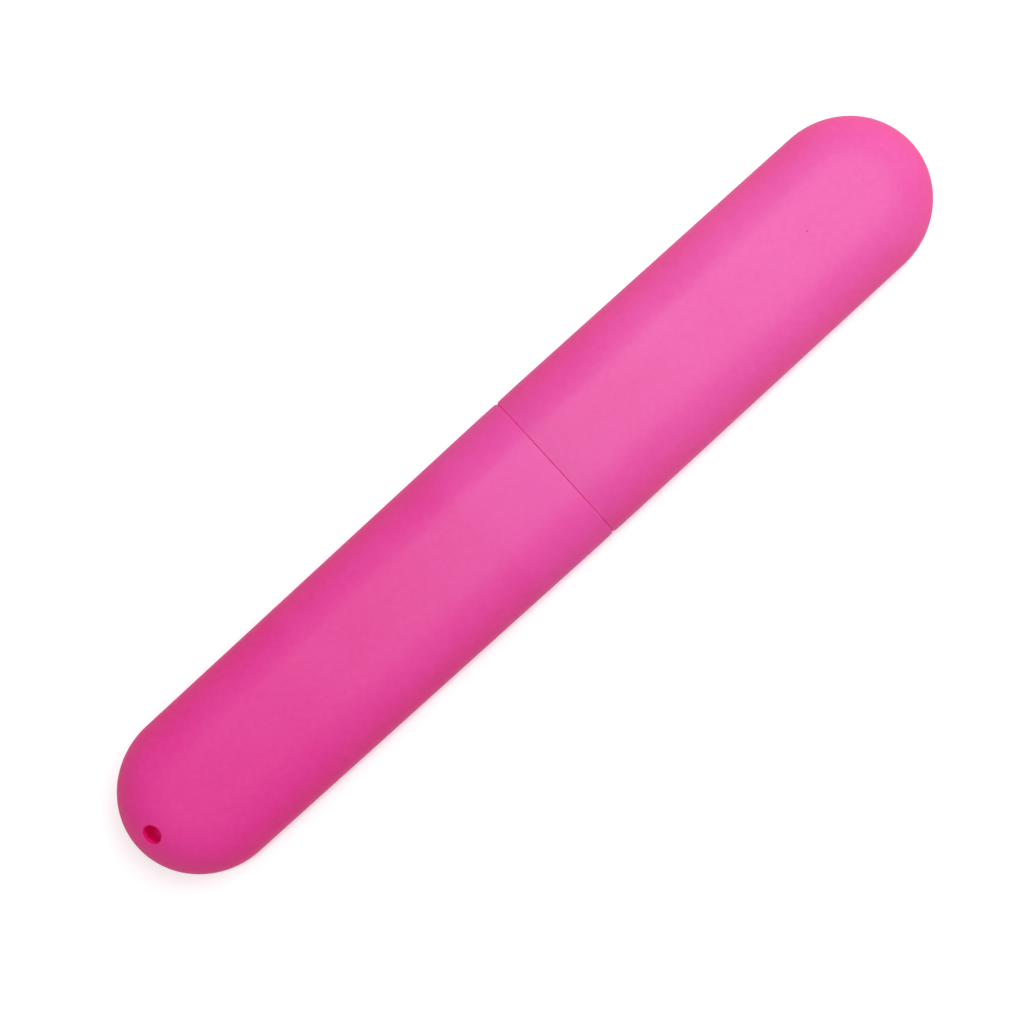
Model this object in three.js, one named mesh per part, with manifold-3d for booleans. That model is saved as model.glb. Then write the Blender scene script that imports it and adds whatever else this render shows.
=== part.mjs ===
// Two-piece travel case for a toothbrush. A vented cap pushes over the neck of a base, and both halves are
// thin shells with flat broad faces and round edges, so the closed case lies flat on either face.
// Millimetres, +Z up. The case lies along X with its cap towards -X, and the origin is under its middle.

import * as THREE from "three";
import { mergeVertices } from "three/addons/utils/BufferGeometryUtils.js";
import Module from "manifold-3d";

const wasm = await Module();
wasm.setup();

// The closed case
const CASE_LENGTH = 180; // tip to tip
const CASE_WIDTH = 30.1; // at the seam, where the case is widest
const CASE_THICKNESS = 19; // across the two flat faces
const CAP_LENGTH = 97; // from the cap's tip to its rim
const EDGE_REACH = 8.3; // each rounded edge, across the case from its side to a flat face
const END_LENGTH = 15.1; // each rounded end, along the case
const SIDE_DRAFT_DEG = 0.36; // how far each side leans in, from the seam towards a tip
const WALL = 1.2;

// The push fit between the halves
const SEAM_GAP = 0.3; // from the cap's rim to the base's shoulder
const NECK_LENGTH = 15.8; // how far the neck reaches past the cap's rim, into the cap
const NECK_WALL = 1;
const FIT_GAP = 0.25; // all round, from the neck to the inside of the cap
const BEAD_GAP = 0.1; // from the crest of the neck's bead to the inside of the cap
const BEAD_WIDTH = 1.6;
const BEAD_SETBACK = 4; // from the neck's mouth to the middle of the bead
const SHOULDER_DEPTH = 1.2; // thickness of the web that joins the neck to the base's wall
const RIM_CHAMFER = 0.25; // outer edges of the seam
const LEAD_IN = 0.5; // inner edge of the cap's mouth and outer edge of the neck's

// The vent in the cap's end
const VENT_DIAMETER = 3.5;
const VENT_ANGLE_DEG = 62.5; // how far round the end's edge it sits, up from the level of mid thickness

// Facets
const EDGE_STEPS = 16; // round each edge, from one flat face to the other
const END_STEPS = 14; // round a quarter turn of an end, seen from above
const VENT_STEPS = 32;

// Each half is drawn in a frame of its own, with X running from the cap's rim, at 0, to the half's own tip.
const midHeight = CASE_THICKNESS / 2;
const seamX = CAP_LENGTH - CASE_LENGTH / 2;
const neckInset = WALL + FIT_GAP;
const boreInset = neckInset + NECK_WALL;
const cap = closedHalf(CAP_LENGTH);
const base = closedHalf(CASE_LENGTH - CAP_LENGTH);

// Half the width of the flat faces: they narrow away from the seam, while the edges keep their shape.
function halfFlat(x) {
  return CASE_WIDTH / 2 - EDGE_REACH - Math.abs(x) * Math.tan(THREE.MathUtils.degToRad(SIDE_DRAFT_DEG));
}

// Where a half's rounded end begins, and how far that end is drawn out compared with a true half circle.
function closedHalf(length) {
  const endX = length - END_LENGTH;
  return { endX, stretch: END_LENGTH / (halfFlat(endX) + EDGE_REACH) };
}

// One ring of points round a half, inset from its outer skin: up one edge and down the other. Each is half an oval.
// A ring on the straight stretch has no turn; round the end, the turn goes to a quarter circle at the tip.
function ring(half, { x, inset, turn = 0 }) {
  const edge = Array.from({ length: EDGE_STEPS + 1 }, (_, step) => {
    const angle = Math.PI * (step / EDGE_STEPS - 0.5);
    const reach = halfFlat(x) + (EDGE_REACH - inset) * Math.cos(angle);
    const along = x + half.stretch * reach * Math.sin(turn);
    return [along, reach * Math.cos(turn), midHeight + (midHeight - inset) * Math.sin(angle)];
  });
  const otherEdge = edge.map(([along, across, up]) => [along, -across, up]).reverse();
  return [...edge, ...otherEdge];
}

// The stations round a closed end, from its tip back to the straight sides.
function endStations(half, inset) {
  return Array.from({ length: END_STEPS + 1 }, (_, step) => {
    return { x: half.endX, inset, turn: (Math.PI / 2) * (1 - step / END_STEPS) };
  });
}

// A closed shell through the rings of all its stations. At a tip the two edges of a ring meet, so the
// triangles that have no area there are left out.
function loft(half, stations) {
  const rings = stations.map((station) => ring(half, station));
  const count = rings[0].length;
  const index = [];
  for (let start = 0; start < (rings.length - 1) * count; start += count) {
    for (let step = 0; step < count; step++) {
      const here = start + step;
      const next = start + ((step + 1) % count);
      index.push(here, next + count, next, here, here + count, next + count);
    }
  }
  const drawn = new THREE.BufferGeometry();
  drawn.setAttribute("position", new THREE.Float32BufferAttribute(rings.flat(2), 3));
  drawn.setIndex(index);
  const merged = mergeVertices(drawn);
  const corners = Array.from(merged.index.array);
  const kept = [];
  for (let i = 0; i < corners.length; i += 3) {
    const triangle = corners.slice(i, i + 3);
    if (new Set(triangle).size === 3) kept.push(...triangle);
  }
  merged.setIndex(kept);
  return merged;
}

function solidOf(geometry) {
  const bare = geometry.clone();
  bare.deleteAttribute("normal");
  bare.deleteAttribute("uv");
  const merged = mergeVertices(bare);
  return new wasm.Manifold(
    new wasm.Mesh({
      numProp: 3,
      vertProperties: new Float32Array(merged.attributes.position.array),
      triVerts: new Uint32Array(merged.index.array),
    }),
  );
}

function geometryOf(solid) {
  const { vertProperties, triVerts } = solid.getMesh();
  const geometry = new THREE.BufferGeometry();
  geometry.setAttribute("position", new THREE.Float32BufferAttribute(vertProperties, 3));
  geometry.setIndex(Array.from(triVerts));
  geometry.computeVertexNormals();
  return geometry;
}

// The drill for the vent stands square to the skin of the cap's end and passes through its wall only.
function ventDrill() {
  const angle = THREE.MathUtils.degToRad(VENT_ANGLE_DEG);
  const drill = new THREE.CylinderGeometry(VENT_DIAMETER / 2, VENT_DIAMETER / 2, 4 * WALL, VENT_STEPS);
  const slope = Math.cos(angle) / (cap.stretch * EDGE_REACH);
  const outward = new THREE.Vector3(slope, 0, Math.sin(angle) / midHeight).normalize();
  const reach = halfFlat(cap.endX) + EDGE_REACH * Math.cos(angle);
  const upright = new THREE.Vector3(0, 1, 0);
  drill.applyQuaternion(new THREE.Quaternion().setFromUnitVectors(upright, outward));
  drill.translate(cap.endX + cap.stretch * reach, 0, midHeight + midHeight * Math.sin(angle));
  return drill;
}

// The cap: outer skin, rim with its lead-in, and a cavity with the same wall all over.
function capGeometry() {
  const shell = loft(cap, [
    ...endStations(cap, 0),
    { x: RIM_CHAMFER, inset: 0 },
    { x: 0, inset: RIM_CHAMFER },
    { x: 0, inset: WALL - LEAD_IN },
    { x: LEAD_IN, inset: WALL },
    ...endStations(cap, WALL).reverse(),
  ]);
  return geometryOf(solidOf(shell).subtract(solidOf(ventDrill())));
}

// The bead that rubs on the inside of the cap, from the shoulder's side of the neck to its mouth.
function beadStations() {
  const middle = BEAD_SETBACK - NECK_LENGTH;
  const crest = neckInset - (FIT_GAP - BEAD_GAP);
  return [
    { x: middle + BEAD_WIDTH / 2, inset: neckInset },
    { x: middle + BEAD_WIDTH / 4, inset: crest },
    { x: middle - BEAD_WIDTH / 4, inset: crest },
    { x: middle - BEAD_WIDTH / 2, inset: neckInset },
  ];
}

// The base: outer skin, shoulder, neck, and a cavity that opens out behind the neck.
function baseGeometry() {
  const webX = SEAM_GAP + SHOULDER_DEPTH;
  const shell = loft(base, [
    ...endStations(base, 0),
    { x: SEAM_GAP + RIM_CHAMFER, inset: 0 },
    { x: SEAM_GAP, inset: RIM_CHAMFER },
    { x: SEAM_GAP, inset: neckInset },
    ...beadStations(),
    { x: LEAD_IN - NECK_LENGTH, inset: neckInset },
    { x: -NECK_LENGTH, inset: neckInset + LEAD_IN },
    { x: -NECK_LENGTH, inset: boreInset },
    { x: webX, inset: boreInset },
    { x: webX + boreInset - WALL, inset: WALL },
    ...endStations(base, WALL).reverse(),
  ]);
  return geometryOf(solidOf(shell));
}

function silkyPlastic() {
  return new THREE.MeshStandardMaterial({ color: 0xe4408f, roughness: 0.5, metalness: 0 });
}

const baseTube = new THREE.Mesh(baseGeometry(), silkyPlastic());
baseTube.name = "necked_base";
baseTube.position.x = seamX;

const ventedCap = new THREE.Mesh(capGeometry(), silkyPlastic());
ventedCap.name = "vented_cap";
ventedCap.position.x = seamX;
ventedCap.rotation.z = Math.PI; // the cap's tip points the other way along the case

const toothbrushCase = new THREE.Group();
toothbrushCase.add(baseTube, ventedCap);

export default toothbrushCase;
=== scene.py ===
"""Looks of a travel case for a toothbrush: a vented cap and a necked base, both thin pink mouldings.

Each half is a grid of rings. A ring goes once round the case, and the rings run over the outer skin,
round the rim or over the neck, and back over the inner skin, so a half is one closed shell. It is worked
out in a frame of its own, with x from the cap's rim, at 0, to the half's own tip and z up from mid
thickness. An inset is how far a point lies inside the outer skin. Metres, and the finished halves are in
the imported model's frame.
"""

import math

import bpy
import numpy as np
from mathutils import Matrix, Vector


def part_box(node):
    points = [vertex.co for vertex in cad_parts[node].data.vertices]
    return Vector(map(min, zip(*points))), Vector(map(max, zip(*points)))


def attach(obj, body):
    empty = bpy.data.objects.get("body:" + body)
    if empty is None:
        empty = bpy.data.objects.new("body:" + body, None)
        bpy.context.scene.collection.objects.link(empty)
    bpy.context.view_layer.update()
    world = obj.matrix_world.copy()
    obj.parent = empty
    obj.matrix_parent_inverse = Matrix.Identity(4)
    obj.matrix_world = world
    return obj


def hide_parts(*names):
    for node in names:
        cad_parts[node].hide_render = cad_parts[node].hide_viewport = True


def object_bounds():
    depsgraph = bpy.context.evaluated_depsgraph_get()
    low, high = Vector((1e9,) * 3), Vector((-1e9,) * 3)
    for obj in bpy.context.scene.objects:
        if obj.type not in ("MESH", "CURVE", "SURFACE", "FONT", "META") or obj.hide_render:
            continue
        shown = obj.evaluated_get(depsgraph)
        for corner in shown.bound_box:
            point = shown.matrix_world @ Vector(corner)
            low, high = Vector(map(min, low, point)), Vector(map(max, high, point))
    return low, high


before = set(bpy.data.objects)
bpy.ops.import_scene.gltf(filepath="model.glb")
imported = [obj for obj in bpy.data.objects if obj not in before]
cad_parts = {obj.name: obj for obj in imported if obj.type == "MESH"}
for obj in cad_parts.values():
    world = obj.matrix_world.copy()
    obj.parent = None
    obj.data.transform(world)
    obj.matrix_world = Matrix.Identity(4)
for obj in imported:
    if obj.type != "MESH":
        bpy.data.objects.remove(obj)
cad_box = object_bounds()

MM = 0.001
TINY = 1e-12

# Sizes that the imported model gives
cap_low, cap_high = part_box("vented_cap")
base_low, base_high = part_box("necked_base")
HALF_THICK = (cap_high.z - cap_low.z) / 2
MID_HEIGHT = (cap_high.z + cap_low.z) / 2
HALF_WIDTH = cap_high.y
SEAM_X = cap_high.x
CAP_LENGTH = SEAM_X - cap_low.x
BASE_LENGTH = base_high.x - SEAM_X
NECK_LENGTH = SEAM_X - base_low.x
CASE_LENGTH = CAP_LENGTH + BASE_LENGTH

# Both mouldings
EDGE_REACH = 8.3 * MM  # each round edge, across the case from its side to a flat face
END_LENGTH = 15.1 * MM  # each rounded end, along the case
SIDE_DRAFT = math.radians(0.36)  # how far each side leans in, from the seam towards a tip
LEVELLING = 0.75  # how gently the flat faces turn into the round edges, along the sides
TIP_LEVELLING = 0.4  # the same at the tips
WALL = 1.2 * MM

# The seam
SEAM_GAP = 0.02 * MM  # the two rims all but touch
RIM_EASING = 0.17 * MM
LEAD_IN_EASING = 0.5 * MM
MOUTH_DIP = 0.07 * MM  # how far the skin is drawn in at the seam
MOUTH_DIP_REACH = 6.0 * MM
NOTCH_DEPTH = 0.24 * MM  # how far the rims' corners are cut back at the case's two sides
NOTCH_REACH = 0.55 * MM
NOTCH_TIGHTNESS = 8  # a higher power keeps the notch closer to the sides

# The neck
NECK_INSET = 1.45 * MM  # from the outer skin to the outside of the neck
NECK_WALL = 1.0 * MM
SHOULDER_DEPTH = 1.2 * MM
ROOT_EASING = 0.25 * MM
BEAD_HEIGHT = 0.15 * MM
BEAD_WIDTH = 1.6 * MM
BEAD_SETBACK = 4.0 * MM  # from the neck's mouth to the middle of the bead

# The vent
VENT_RADIUS = 1.75 * MM
VENT_ANGLE = math.radians(62.5)  # how far round the end's edge it sits, up from mid thickness
VENT_EASING = 0.15 * MM
VENT_INNER_EASING = 0.4 * MM

# Where the finish changes
PAINTED_BAND_FADE = 3.0 * MM  # how gently the painted paler band over the neck begins
RIM_RUB = 0.4 * MM  # how far from a rubbed edge its wear reaches
BEAD_RUB = 0.9 * MM
MOUTH_RUB = 0.8 * MM
CUT_FADE = 0.1 * WALL  # depth at which a face that cuts through a wall is fully red
RIM_CUT = 0.8  # how much of that red the rims have
VENT_CUT_POWER = 4  # a higher power carries the painted red shade further out through the vent

# Fineness of the grids
LOOP_POINTS = 200
END_RINGS = 56
END_CROWDING = 1.25  # a higher power crowds an end's rings towards its centre
EASING_RINGS = 5
VENT_INNER_LIP_RINGS = 3
VENT_WALL_RINGS = 6
VENT_LIP_RINGS = 7
RING_SPACING = 1.2 * MM
HALVINGS = 40

around = np.linspace(0, 2 * np.pi, LOOP_POINTS, endpoint=False)


# Shapes of the two halves

def half_flat(x):
    """Half the width of the flat faces at x from the seam: it narrows at the draft angle."""
    return HALF_WIDTH - EDGE_REACH - np.abs(x) * math.tan(SIDE_DRAFT)


def end_of(length):
    """Where a half's rounded end begins, half its flats' width there, and how far it is drawn out."""
    start = length - END_LENGTH
    flat = half_flat(start)
    return start, flat, END_LENGTH / (flat + EDGE_REACH)


def unit(vectors):
    """The vectors divided by their lengths."""
    return vectors / np.linalg.norm(vectors, axis=-1, keepdims=True)


def held_within(reach, limit, ease):
    """reach, held within a limit: reach itself while small, then a parabola over twice the ease that ends
    level at the limit."""
    held = np.minimum(np.abs(reach), limit + ease)
    return np.sign(reach) * (held - np.maximum(held - limit + ease, 0) ** 2 / (4 * ease))


def side_rings(x, inset):
    """Rings across the straight sides: the point at each angle of an ellipse, pushed out to the outline
    that keeps one distance from a flat strip, then drawn out to the case's thickness. x has one entry for
    each ring, and inset one for each point."""
    flat = half_flat(x)[:, None]
    reach = EDGE_REACH - inset
    y = (flat + reach) * np.cos(around)
    z = reach * np.sin(around)
    core = held_within(y, flat, LEVELLING * flat)
    scale = reach / np.hypot(y - core, z)
    tall = (HALF_THICK - inset) / reach
    along = np.broadcast_to(x[:, None], y.shape)
    return np.stack([along, core + scale * (y - core), scale * z * tall], -1)


def end_skin(length, inset, directions):
    """Points of a rounded end: the point in each direction on a half ellipsoid, pushed out to keep one
    distance from a flat half disc, then drawn out along the case and to its thickness. The turn into the
    round edge is tighter towards the tip."""
    start, flat, stretch = end_of(length)
    reach = EDGE_REACH - inset
    points = directions * [flat + reach, flat + reach, reach]
    away = np.linalg.norm(points[..., :2], axis=-1, keepdims=True)
    plan = points * [1, 1, 0] / np.maximum(away, TINY)
    ease = flat * (LEVELLING + (TIP_LEVELLING - LEVELLING) * plan[..., :1] ** 2)
    core = plan * held_within(away, flat, ease)
    skin = core + reach * unit(points - core)
    return skin * [stretch, 1, (HALF_THICK - inset) / reach] + [start, 0, 0]


def fanned(centre, share):
    """Directions that fan out from a centre along great circles: at share 0 each is the centre, and at
    share 1 they stand on the circle square to the case. The last axis of share goes round the fan."""
    rim = np.stack([np.zeros_like(around), np.cos(around), np.sin(around)], -1)
    whole = np.arccos(rim @ centre)
    gone = share * whole
    fan = np.sin(whole - gone)[..., None] * centre + np.sin(gone)[..., None] * rim
    return fan / np.sin(whole)[:, None]


def end_rings(length, inset, centre, first_share):
    """Rings over a rounded end, from first_share out to where the straight sides begin. They lie closest
    at the centre, because the share grows as a power of the ring's number."""
    step = np.linspace(0, 1, END_RINGS)[:, None] ** END_CROWDING
    return end_skin(length, inset, fanned(centre, first_share + (1 - first_share) * step))


def parabola(first, corner, last, count):
    """Points or rings along a parabola whose end tangents meet at corner, its two ends left out."""
    t = np.linspace(0, 1, count + 2)[1:-1].reshape(-1, *[1] * first.ndim)
    return (1 - t) ** 2 * first + 2 * t * (1 - t) * corner + t**2 * last


def eased_line(corners):
    """A line through corners (x, inset, easing): each inner corner becomes a parabola that leaves its two
    edges that far from the corner, and the straight stretches are divided evenly. Gives the x and inset of
    its points."""
    points = np.array([(x, inset) for x, inset, _ in corners])
    easing = np.array([[ease] for _, _, ease in corners])
    ahead = unit(np.diff(points, axis=0))
    leave = points[:-1] + ahead * easing[:-1]
    meet = points[1:] - ahead * easing[1:]
    line = []
    for i, length in enumerate(np.linalg.norm(meet - leave, axis=-1)):
        if i > 0:
            line.append(parabola(meet[i - 1], points[i], leave[i], EASING_RINGS))
        line.append(np.linspace(leave[i], meet[i], math.ceil(length / RING_SPACING) + 1))
    x, inset = np.concatenate(line).T
    return x, inset


def drawn_in(x, inset, rim):
    """The inset of each point, with the outer skin drawn in towards the rim: a parabola along the case,
    and a short steep one at the two sides, both fading out through the wall."""
    fade = np.clip(1 - inset / WALL, 0, 1)
    dip = MOUTH_DIP * fade * np.clip(1 - (x - rim) / MOUTH_DIP_REACH, 0, 1) ** 2
    notch = NOTCH_DEPTH * fade * np.clip(1 - (x - rim) / NOTCH_REACH, 0, 1) ** 2
    return (inset + dip)[:, None] + notch[:, None] * np.cos(around) ** NOTCH_TIGHTNESS


def nearness(x, inset, corners):
    """How near each point of a line is to the nearest of some corners (x, inset, reach): 1 on it, and 0 a
    reach away."""
    away = [np.hypot(x - at_x, inset - at_inset) / reach for at_x, at_inset, reach in corners]
    return np.clip(1 - np.min(away, axis=0), 0, 1)


def across_wall(inset, depth):
    """1 on a face that cuts through a wall, 0 on the wall's skins: the depth from the nearer skin as a
    share of the fade, held within 1."""
    return np.clip(np.minimum(inset, depth - inset) / CUT_FADE, 0, 1)


def vent_line():
    """The vent's place on the cap's skin and its axis, square to the skin."""
    start, flat, stretch = end_of(CAP_LENGTH)
    across = math.cos(VENT_ANGLE)
    up = math.sin(VENT_ANGLE)
    place = np.array([start + stretch * (flat + EDGE_REACH * across), 0, HALF_THICK * up])
    return place, unit(np.array([across / (stretch * EDGE_REACH), 0, up / HALF_THICK]))


def vent_centre():
    """The direction in which the vent's axis meets the cap's end, by halving the angle above level."""
    place, axis = vent_line()
    uphill = np.array([-axis[2], 0, axis[0]])
    low, high = 0, math.pi / 2
    for _ in range(HALVINGS):
        middle = (low + high) / 2
        direction = np.array([math.cos(middle), 0, math.sin(middle)])
        beyond = (end_skin(CAP_LENGTH, 0, direction) - place) @ uphill > 0
        low, high = (low, middle) if beyond else (middle, high)
    return direction


def vent_share(inset, centre, radius):
    """How far along each great circle of the fan a round of that radius about the vent's axis is met, by
    halving."""
    place, axis = vent_line()
    low, high = np.zeros(LOOP_POINTS), np.ones(LOOP_POINTS)
    for _ in range(HALVINGS):
        middle = (low + high) / 2
        offset = end_skin(CAP_LENGTH, inset, fanned(centre, middle)) - place
        outside = np.linalg.norm(np.cross(offset, axis), axis=-1) > radius
        low, high = np.where(outside, low, middle), np.where(outside, middle, high)
    return (low + high) / 2


def vent_rings(centre, inner_share, outer_share):
    """Rings through the vent, from its inner lip to its outer one: a straight round wall, both lips
    eased."""
    _, axis = vent_line()
    corner_in, lip_in, corner_out, lip_out = (
        end_skin(CAP_LENGTH, inset, fanned(centre, share))
        for inset, share in (
            (WALL, vent_share(WALL, centre, VENT_RADIUS)),
            (WALL, inner_share),
            (0, vent_share(0, centre, VENT_RADIUS)),
            (0, outer_share),
        )
    )
    low = corner_in + axis * VENT_INNER_EASING
    high = corner_out - axis * VENT_EASING
    return np.concatenate([
        parabola(lip_in, corner_in, low, VENT_INNER_LIP_RINGS),
        np.linspace(low, high, VENT_WALL_RINGS),
        parabola(high, corner_out, lip_out, VENT_LIP_RINGS),
    ])


def joined(marks):
    """Each mark's stretches of numbers, joined in the order of the rings."""
    return {name: np.concatenate(stretches) for name, stretches in marks.items()}


def cap_rings():
    """The cap's rings and their marks: vent, outer end, outer side, rim, inner side and inner end, back to
    the vent."""
    centre = vent_centre()
    start, _, _ = end_of(CAP_LENGTH)
    inner_share = vent_share(WALL, centre, VENT_RADIUS + VENT_INNER_EASING)
    outer_share = vent_share(0, centre, VENT_RADIUS + VENT_EASING)
    x, inset = eased_line([
        (start, 0, 0),
        (NOTCH_REACH, 0, NOTCH_REACH / 2),
        (0, 0, RIM_EASING),
        (0, WALL, LEAD_IN_EASING),
        (start, WALL, 0),
    ])
    vent = vent_rings(centre, inner_share, outer_share)
    outer = end_rings(CAP_LENGTH, 0, centre, outer_share)[:-1]
    side = side_rings(x, drawn_in(x, inset, 0))
    inner = end_rings(CAP_LENGTH, WALL, centre, inner_share)[-2::-1]
    blank_vent, blank_outer, blank_inner = (np.zeros(len(part)) for part in (vent, outer, inner))
    depth = np.linspace(1, 0, len(vent))
    over_neck = np.clip((NECK_LENGTH - x) / PAINTED_BAND_FADE + 0.5, 0, 1) * (inset < WALL / 2)
    marks = {
        "inside": [depth, blank_outer, np.clip(inset / WALL, 0, 1), blank_inner + 1],
        "edge": [blank_vent, blank_outer, nearness(x, inset, [(0, 0, RIM_RUB)]), blank_inner],
        "painted_band": [blank_vent, blank_outer, over_neck, blank_inner],
        "cut": [
            1 - (1 - depth) ** VENT_CUT_POWER,
            blank_outer,
            RIM_CUT * across_wall(inset, WALL),
            blank_inner,
        ],
    }
    return np.concatenate([vent, outer, side, inner]), joined(marks)


def base_rings():
    """The base's rings and their marks: outer end, outer side, shoulder, neck with its bead, bore, inner
    side and inner end."""
    tip = np.array([1, 0, 0])
    no_share = np.zeros(LOOP_POINTS)
    start, _, _ = end_of(BASE_LENGTH)
    bore = NECK_INSET + NECK_WALL
    web = SEAM_GAP + SHOULDER_DEPTH
    bead = BEAD_SETBACK - NECK_LENGTH
    crest = NECK_INSET - BEAD_HEIGHT
    x, inset = eased_line([
        (start, 0, 0),
        (SEAM_GAP + NOTCH_REACH, 0, NOTCH_REACH / 2),
        (SEAM_GAP, 0, RIM_EASING),
        (SEAM_GAP, NECK_INSET, ROOT_EASING),
        (bead + BEAD_WIDTH, NECK_INSET, BEAD_WIDTH / 4),
        (bead + BEAD_WIDTH / 4, crest, BEAD_WIDTH / 5),
        (bead - BEAD_WIDTH / 4, crest, BEAD_WIDTH / 5),
        (bead - BEAD_WIDTH, NECK_INSET, BEAD_WIDTH / 4),
        (-NECK_LENGTH, NECK_INSET, LEAD_IN_EASING),
        (-NECK_LENGTH, bore, ROOT_EASING),
        (web, bore, ROOT_EASING),
        (web + bore - WALL, WALL, ROOT_EASING),
        (start, WALL, 0),
    ])
    outer = end_rings(BASE_LENGTH, 0, tip, no_share)[:-1]
    side = side_rings(x, drawn_in(x, inset, SEAM_GAP))
    inner = end_rings(BASE_LENGTH, WALL, tip, no_share)[-2::-1]
    blank_outer, blank_inner = (np.zeros(len(part)) for part in (outer, inner))
    past_mouth = 1.0 * (np.arange(len(x)) > np.argmin(x))
    on_shoulder = (x > 0) * (1 - past_mouth)
    rubbed = [
        (SEAM_GAP, 0, RIM_RUB),
        (bead, crest, BEAD_RUB),
        (-NECK_LENGTH, NECK_INSET, MOUTH_RUB),
    ]
    marks = {
        "inside": [blank_outer, past_mouth, blank_inner + 1],
        "edge": [blank_outer, nearness(x, inset, rubbed), blank_inner],
        "neck": [blank_outer, 1.0 * (x < SEAM_GAP), blank_inner],
        "cut": [blank_outer, RIM_CUT * across_wall(inset, NECK_INSET) * on_shoulder, blank_inner],
    }
    return np.concatenate([outer, side, inner]), joined(marks)


def shell_faces(ids, closes):
    """The faces between rings of point numbers, all facing outwards. With closes, the last ring joins the
    first; without it, the first and last rings are poles, each the middle of a fan of triangles."""
    here = ids if closes else ids[:-1]
    there = np.roll(ids, -1, axis=0) if closes else ids[1:]
    quads = np.stack([here, there, np.roll(there, -1, axis=1), np.roll(here, -1, axis=1)], -1)
    if closes:
        return quads.reshape(-1, 4).tolist()
    fan_in = quads[0][:, [0, 1, 2]]
    fan_out = quads[-1][:, [0, 1, 3]]
    return fan_in.tolist() + quads[1:-1].reshape(-1, 4).tolist() + fan_out.tolist()


def shell(name, rings, marks, closes):
    """A mesh through rings that each close on themselves, closed at its ends as in shell_faces; all the
    points of a pole are one. Marks hold one number for each ring, and one more, level, tells how squarely
    the skin faces up or down."""
    count, loop = rings.shape[:2]
    ids = np.arange(count * loop).reshape(count, loop)
    points = rings.reshape(-1, 3)
    marked = {mark: np.repeat(values, loop) for mark, values in marks.items()}
    if not closes:
        kept = slice(loop - 1, 1 - loop)
        points = points[kept]
        marked = {mark: values[kept] for mark, values in marked.items()}
        ids = np.clip(ids - (loop - 1), 0, len(points) - 1)
    mesh = bpy.data.meshes.new(name)
    mesh.from_pydata(points, [], shell_faces(ids, closes))
    mesh.polygons.foreach_set("use_smooth", np.ones(len(mesh.polygons), bool))
    mesh.update()
    normals = np.empty((len(points), 3), np.float32)
    mesh.vertex_normals.foreach_get("vector", normals.ravel())
    marked["level"] = np.abs(normals[:, 2])
    for mark, values in marked.items():
        attribute = mesh.attributes.new(mark, "FLOAT", "POINT")
        attribute.data.foreach_set("value", values.astype(np.float32))
    piece = bpy.data.objects.new(name, mesh)
    bpy.context.scene.collection.objects.link(piece)
    return piece


# Materials

class Wire:
    """One output of a shader node. Arithmetic on wires and numbers adds Math nodes."""

    def __init__(self, finish, socket):
        self.finish = finish
        self.socket = socket

    def maths(self, operation, first, second):
        return self.finish.node("ShaderNodeMath", {"operation": operation}, {0: first, 1: second})

    def __add__(self, other):
        return self.maths("ADD", self, other)

    def __radd__(self, other):
        return self.maths("ADD", other, self)

    def __sub__(self, other):
        return self.maths("SUBTRACT", self, other)

    def __rsub__(self, other):
        return self.maths("SUBTRACT", other, self)

    def __mul__(self, other):
        return self.maths("MULTIPLY", self, other)

    def __rmul__(self, other):
        return self.maths("MULTIPLY", other, self)


class Finish:
    """A node tree under construction, of a material or of the world."""

    def __init__(self, owner):
        owner.use_nodes = True
        self.tree = owner.node_tree
        self.tree.nodes.clear()

    def node(self, kind, settings, sockets, output=0):
        """Adds a node: first its settings, then its sockets, each a wire or a plain value. Gives one
        output."""
        made = self.tree.nodes.new(kind)
        for name, value in settings.items():
            setattr(made, name, value)
        for key, value in sockets.items():
            if isinstance(value, Wire):
                self.tree.links.new(value.socket, made.inputs[key])
            else:
                made.inputs[key].default_value = value
        return Wire(self, made.outputs[output]) if made.outputs else None

    def mix(self, share, first, second):
        """A colour between two, by a share from 0 to 1."""
        settings = {"data_type": "RGBA", "clamp_factor": True}
        return self.node("ShaderNodeMix", settings, {0: share, 6: first, 7: second}, 2)

    def vector(self, operation, sockets, output=0):
        """Vector Math on places or colours."""
        return self.node("ShaderNodeVectorMath", {"operation": operation}, sockets, output)

    def ramp(self, value, low, high):
        """A smooth step from 0 at low to 1 at high."""
        settings = {"interpolation_type": "SMOOTHSTEP"}
        return self.node("ShaderNodeMapRange", settings, {0: value, 1: low, 2: high, 3: 0.0, 4: 1.0})

    def noise(self, place, scale, layers):
        """Soft noise from 0 to 1, about 0.5."""
        sockets = {"Vector": place, "Scale": scale, "Detail": layers, "Roughness": LAYER_FADE}
        return self.node("ShaderNodeTexNoise", {}, sockets)


# Colours of the plastic, and painted light and shade on it
CAP_PINK = (0.84, 0.047, 0.41, 1)  # on the flat faces, at the cap's tip: the darker end of a painted gradient of light along the case
BASE_PINK = (0.88, 0.151, 0.587, 1)  # on the flat faces, at the base's tip: painted paler, for the sheen and light that fall on the base end
CAP_SHADED_EDGE_PINK = (0.847, 0.029, 0.326, 1)  # painted shade in the round edges, by how squarely the skin faces up
BASE_SHADED_EDGE_PINK = (1, 0.119, 0.501, 1)
PAINTED_BAND_PINK = (1, 0.14, 0.66, 1)  # where the neck behind the cap's wall makes it paler
# painted light: the cap over the neck is painted paler, for the lighter look of the double wall there
INSIDE_PINK = (0.99, 0.05, 0.48, 1)
CUT_RED_AND_SHADE = (0.95, 0.01, 0.22, 1)  # faces that cut through a wall: partly the plastic seen edge-on, and partly painted shade down the vent and in the seam's groove
WORN_PINK = (0.97, 0.28, 0.66, 1)
SPECK_RED = (0.2, 0.01, 0.06, 1)
SHINE_THROUGH = (0.92, 0.018, 0.4, 1)  # what is left of white light after it has come through the skin

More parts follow.
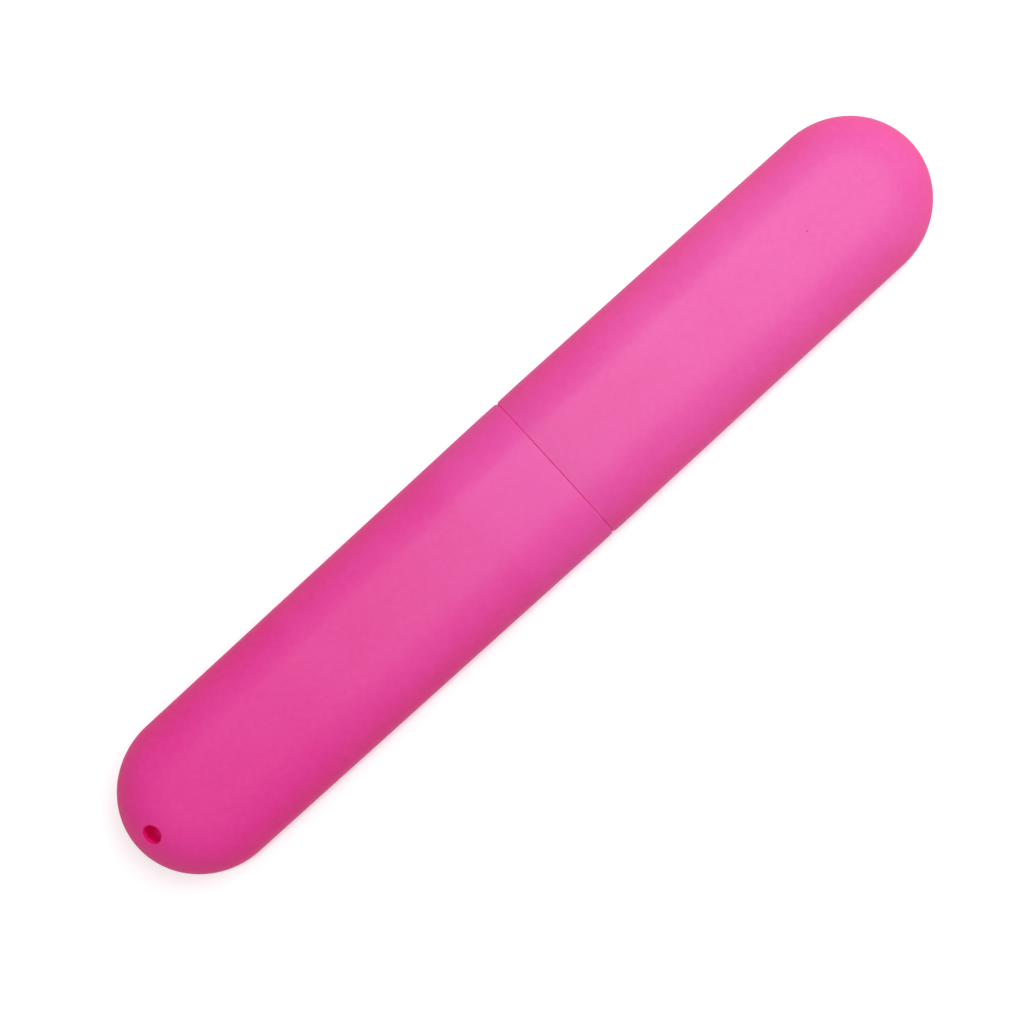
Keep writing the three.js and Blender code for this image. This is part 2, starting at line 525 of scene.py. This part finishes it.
# How much of each colour shows
CLOUDINESS = 0.5
MOTTLE_PALENESS = 0.12
GRAIN_PALENESS = 0.04
MOTTLE_SHADE = 0.14
GRAIN_SHADE = 0.06
PAINTED_BAND_SHARE = 0.25
INSIDE_SHARE = 0.9
CUT_SHARE = 0.9
WEAR_SHARE = 0.2
STREAK_SHARE = 0.12
SPECK_SHARE = 0.7
SHARE_THROUGH = 0.45
NECK_LESS_THROUGH = 0.12

# Noise: its scale, to the metre, and how many finer layers it has
CLOUDS = (60, 3)
WEAR_SPOTS = (700, 3)
MOTTLING = (900, 2)
STREAKS = (2500, 3)
GRAIN = (5000, 2)
LAYER_FADE = 0.55  # each finer layer's strength, beside the one before
STREAK_STRETCH = (0.06, 1, 1)  # the streaks outside the neck run along the case
GRAIN_DEPTH = 0.03 * MM
GRAIN_STRENGTH = 0.25
INSIDE_EVENNESS = 0.8  # how much of the grain is missing inside

# Gloss
ROUGHNESS = 0.35
GRAIN_ROUGHNESS = 0.1
INSIDE_SMOOTHNESS = 0.1
STREAK_SMOOTHNESS = 0.08
GLOSS = 0.09
SHEEN = 0.36
SHEEN_ROUGHNESS = 0.4
PLASTIC_IOR = 1.49

# From low to high, where one look gives way to another
FLAT_LEVELS = (0.4, 1)  # levels between the round edges' painted shade and the flat faces' colour
SHEEN_LEVELS = (0.33, 0.82)
WEAR_PATCHES = (0.35, 0.65)
STREAK_PATCHES = (0.45, 0.7)
SPECK_REACH = (0.1 * MM, 0.24 * MM)
SPECK_PLACE = (65.05 * MM, 0.83 * MM, MID_HEIGHT + HALF_THICK)


def silky_pink():
    """Silky moulded plastic: pink with a faint cloudiness and mottle, with a fine even grain and a soft
    broad sheen, and paler where its edges have rubbed. The inside is smoother. Painted light and shade:
    the colour grows paler from the cap's tip to the base's tip, for the sheen and light that fall towards
    the base; the round edges are painted a deeper, shaded pink by how squarely the skin faces up; a paler
    band is painted on the cap over the neck; and the vent's wall and the seam's rims are painted deep red,
    partly the plastic seen edge-on and partly shade. Some light comes through the thin walls, less of it
    through the neck, and makes the inside glow red."""
    material = bpy.data.materials.new("silky_pink")
    finish = Finish(material)
    place = finish.node("ShaderNodeTexCoord", {}, {}, "Object")
    inside, edge, neck, painted_band, cut, level = (
        finish.node("ShaderNodeAttribute", {"attribute_name": mark}, {}, "Fac")
        for mark in ("inside", "edge", "neck", "painted_band", "cut", "level")
    )
    along = finish.node("ShaderNodeSeparateXYZ", {}, {0: place}, "X")
    cloud = finish.noise(place, *CLOUDS)
    mottle = finish.noise(place, *MOTTLING)
    grain = finish.noise(place, *GRAIN)
    drawn = finish.vector("MULTIPLY", {0: place, 1: STREAK_STRETCH})
    streaks = neck * (1 - inside) * finish.ramp(finish.noise(drawn, *STREAKS), *STREAK_PATCHES)
    wear = edge * finish.ramp(finish.noise(place, *WEAR_SPOTS), *WEAR_PATCHES)
    speck_away = finish.vector("DISTANCE", {0: place, 1: SPECK_PLACE}, "Value")
    speck = 1 - finish.ramp(speck_away, *SPECK_REACH)

    # painted light: the colour grows paler from the cap's tip to the base's tip, for the sheen and light
    # towards the base end; the cloud term adds the plastic's own random tone
    painted_sheen_and_cloud = finish.ramp(along, cap_low.x, base_high.x) + CLOUDINESS * (cloud - 0.5)
    flat = finish.mix(painted_sheen_and_cloud, CAP_PINK, BASE_PINK)
    painted_edge_shade = finish.mix(painted_sheen_and_cloud, CAP_SHADED_EDGE_PINK, BASE_SHADED_EDGE_PINK)
    # painted shade: the round edges take the shaded colour, by how squarely the skin faces up
    colour = finish.mix(finish.ramp(level, *FLAT_LEVELS), painted_edge_shade, flat)
    colour = finish.mix(MOTTLE_PALENESS * mottle + GRAIN_PALENESS * grain, colour, WORN_PINK)
    shade = 1 + MOTTLE_SHADE * (mottle - 0.5) + GRAIN_SHADE * (grain - 0.5)
    colour = finish.vector("SCALE", {0: colour, "Scale": shade})
    # painted light: the paler band on the cap over the neck
    colour = finish.mix(PAINTED_BAND_SHARE * painted_band, colour, PAINTED_BAND_PINK)
    colour = finish.mix(INSIDE_SHARE * inside, colour, INSIDE_PINK)
    # partly painted shade: deep red down the vent and on the seam's rims
    colour = finish.mix(CUT_SHARE * cut, colour, CUT_RED_AND_SHADE)
    colour = finish.mix(WEAR_SHARE * wear + STREAK_SHARE * streaks, colour, WORN_PINK)
    colour = finish.mix(SPECK_SHARE * speck, colour, SPECK_RED)

    rough = ROUGHNESS + GRAIN_ROUGHNESS * grain - INSIDE_SMOOTHNESS * inside - STREAK_SMOOTHNESS * streaks
    bump = finish.node("ShaderNodeBump", {}, {
        "Strength": GRAIN_STRENGTH,
        "Distance": GRAIN_DEPTH,
        "Height": grain * (1 - INSIDE_EVENNESS * inside),
    })
    skin = finish.node("ShaderNodeBsdfPrincipled", {}, {
        "Base Color": colour,
        "Roughness": rough,
        "Normal": bump,
        "IOR": PLASTIC_IOR,
        "Specular IOR Level": GLOSS,
        "Coat Weight": SHEEN * finish.ramp(level, *SHEEN_LEVELS),
        "Coat Roughness": SHEEN_ROUGHNESS,
        "Coat IOR": PLASTIC_IOR,
    })
    through = finish.node("ShaderNodeBsdfTranslucent", {}, {"Color": SHINE_THROUGH})
    share = SHARE_THROUGH - NECK_LESS_THROUGH * neck
    both = finish.node("ShaderNodeMixShader", {}, {0: share, 1: skin, 2: through})
    finish.node("ShaderNodeOutputMaterial", {}, {"Surface": both})
    return material


# The two halves, the cap turned half round so that its tip points the other way along the case

plastic = silky_pink()
seat = [SEAM_X, 0, MID_HEIGHT]

rings, marks = cap_rings()
cap = shell("cap_shell", rings * [-1, -1, 1] + seat, marks, closes=True)
rings, marks = base_rings()
base = shell("base_shell", rings + seat, marks, closes=False)
for piece, node, body in ((cap, "vented_cap", "cap"), (base, "necked_base", "base")):
    piece.data.materials.append(plastic)
    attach(piece, body)
    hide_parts(node)


# Stage, light and camera

IMAGE_SIZE_PX = 1024
CAP_TIP_PX = np.array([138.9, 846.9])
BASE_TIP_PX = np.array([910.7, 143.5])
LENS_MM = 85
SENSOR_MM = 36
CLIP_START = 0.01
CLIP_END = 10
FLOOR_HALF = 3
FLOOR_DROP = 0.05 * MM  # how far the floor stays clear of the case
FLOOR_WHITE = (0.8, 0.8, 0.8, 1)
FLOOR_LIFT = 0.3  # what brings the floor up to white in the picture
AMBIENT_WHITE = (1, 1, 1, 1)
AMBIENT = 0.48


def make_camera():
    """A camera straight above the case, turned and placed so that its two tips fall on their pixels."""
    along = BASE_TIP_PX - CAP_TIP_PX
    turn = math.atan2(-along[1], along[0])
    metres_per_px = CASE_LENGTH / np.linalg.norm(along)
    right, down = metres_per_px * (IMAGE_SIZE_PX / 2 - (CAP_TIP_PX + BASE_TIP_PX) / 2)
    x = right * math.cos(turn) - down * math.sin(turn)
    y = -right * math.sin(turn) - down * math.cos(turn)
    distance = metres_per_px * IMAGE_SIZE_PX * LENS_MM / SENSOR_MM
    data = bpy.data.cameras.new("camera")
    data.lens = LENS_MM
    data.sensor_width = SENSOR_MM
    data.clip_start = CLIP_START
    data.clip_end = CLIP_END
    camera = bpy.data.objects.new("camera", data)
    middle = (cap_low.x + base_high.x) / 2
    camera.location = (middle + x, y, MID_HEIGHT + distance)
    camera.rotation_euler = (0, 0, -turn)
    bpy.context.scene.collection.objects.link(camera)
    bpy.context.scene.camera = camera


def seen_as_backdrop(finish):
    """1 for rays from the camera, and for those that gloss or clear material sends on, else 0."""
    camera, gloss, clear = (
        finish.node("ShaderNodeLightPath", {}, {}, name)
        for name in ("Is Camera Ray", "Is Glossy Ray", "Is Transmission Ray")
    )
    return finish.node("ShaderNodeClamp", {}, {"Value": camera + gloss + clear})


def make_floor():
    """A white floor that keeps the case's shadow and shows as white."""
    material = bpy.data.materials.new("floor_white")
    finish = Finish(material)
    matt = finish.node("ShaderNodeBsdfDiffuse", {}, {"Color": FLOOR_WHITE})
    lift = finish.node("ShaderNodeEmission", {}, {"Strength": FLOOR_LIFT * seen_as_backdrop(finish)})
    both = finish.node("ShaderNodeAddShader", {}, {0: matt, 1: lift})
    finish.node("ShaderNodeOutputMaterial", {}, {"Surface": both})
    level = cap_low.z - FLOOR_DROP
    square = ((-1, -1), (1, -1), (1, 1), (-1, 1))
    corners = [(x * FLOOR_HALF, y * FLOOR_HALF, level) for x, y in square]
    mesh = bpy.data.meshes.new("floor")
    mesh.from_pydata(corners, [], [(0, 1, 2, 3)])
    mesh.materials.append(material)
    floor = bpy.data.objects.new("floor", mesh)
    bpy.context.scene.collection.objects.link(floor)


def make_world():
    """Even light from all round."""
    world = bpy.data.worlds.new("studio")
    finish = Finish(world)
    light = finish.node("ShaderNodeBackground", {}, {"Color": AMBIENT_WHITE, "Strength": AMBIENT})
    finish.node("ShaderNodeOutputWorld", {}, {"Surface": light})
    bpy.context.scene.world = world


def make_softbox(name, place, size, power):
    """A square soft light that faces the middle of the case."""
    data = bpy.data.lights.new(name, "AREA")
    data.size = size
    data.energy = power
    lamp = bpy.data.objects.new(name, data)
    lamp.location = place
    target = cad_box[0].lerp(cad_box[1], 0.5)
    lamp.rotation_euler = (target - lamp.location).to_track_quat("-Z", "Y").to_euler()
    lamp.visible_camera = False
    bpy.context.scene.collection.objects.link(lamp)


make_camera()
make_floor()
make_world()
make_softbox("key_light", place=(0.14, 0.03, 0.45), size=0.25, power=1.04)
make_softbox("side_light", place=(0.4, 0, 0.15), size=0.3, power=0.27)
make_softbox("top_light", place=(0.03, 0.1, 1.3), size=0.07, power=4.4)
bpy.context.scene.view_settings.view_transform = "Standard"
